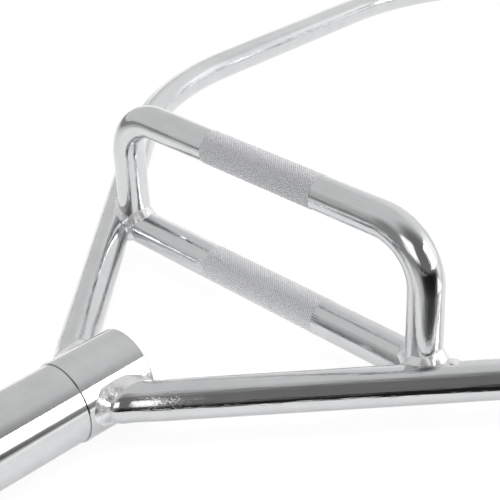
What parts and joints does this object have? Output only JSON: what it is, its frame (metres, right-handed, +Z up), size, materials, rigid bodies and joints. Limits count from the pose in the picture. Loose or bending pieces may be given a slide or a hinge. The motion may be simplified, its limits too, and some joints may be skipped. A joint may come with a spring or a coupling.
{
  "type": "trap bar",
  "caption": "Hexagonal chrome-plated lifting bar with rotating plate sleeves, low and raised knurled neutral-grip handles.",
  "frame": {"origin": "on the floor plane, under the middle of the hexagon; the sleeves' common axis is 26 mm above it", "axes": "+X along the sleeves' common axis, towards the right end; +Z up, the side of the raised handles; -Y towards the front rail"},
  "size_m": [1.42, 0.6262, 0.1266],
  "materials": {
    "chrome": "polished chrome plate",
    "ground_steel": "ground steel",
    "bronze": "sintered bronze",
    "spring_steel": "black oxide",
    "black_plastic": "moulded, satin"
  },
  "bodies": {
    "weldment": {"front_rail": "chrome", "rear_rail": "chrome", "left_hub": "chrome", "left_spindle": "ground_steel", "left_thrust_washer": "bronze", "left_retaining_washer": "ground_steel", "left_circlip": "spring_steel", "left_low_handle": "chrome", "left_raised_handle": "chrome", "left_front_hub_weld": "chrome", "left_front_handle_weld": "chrome", "left_rear_hub_weld": "chrome", "left_rear_handle_weld": "chrome", "right_hub": "chrome", "right_spindle": "ground_steel", "right_thrust_washer": "bronze", "right_retaining_washer": "ground_steel", "right_circlip": "spring_steel", "right_low_handle": "chrome", "right_raised_handle": "chrome", "right_front_hub_weld": "chrome", "right_front_handle_weld": "chrome", "right_rear_hub_weld": "chrome", "right_rear_handle_weld": "chrome"},
    "left_sleeve": {"left_plate_sleeve": "chrome", "left_inner_bush": "bronze", "left_outer_bush": "bronze", "left_end_cap": "black_plastic"},
    "right_sleeve": {"right_plate_sleeve": "chrome", "right_inner_bush": "bronze", "right_outer_bush": "bronze", "right_end_cap": "black_plastic"}
  },
  "joints": [
    {"name": "left_sleeve_spin", "type": "hinge", "parent": "weldment", "child": "left_sleeve", "pos_m": [-0.6, 0, 0.026], "axis": [1, 0, 0], "continuous": true},
    {"name": "right_sleeve_spin", "type": "hinge", "parent": "weldment", "child": "right_sleeve", "pos_m": [0.6, 0, 0.026], "axis": [1, 0, 0], "continuous": true}
  ]
}
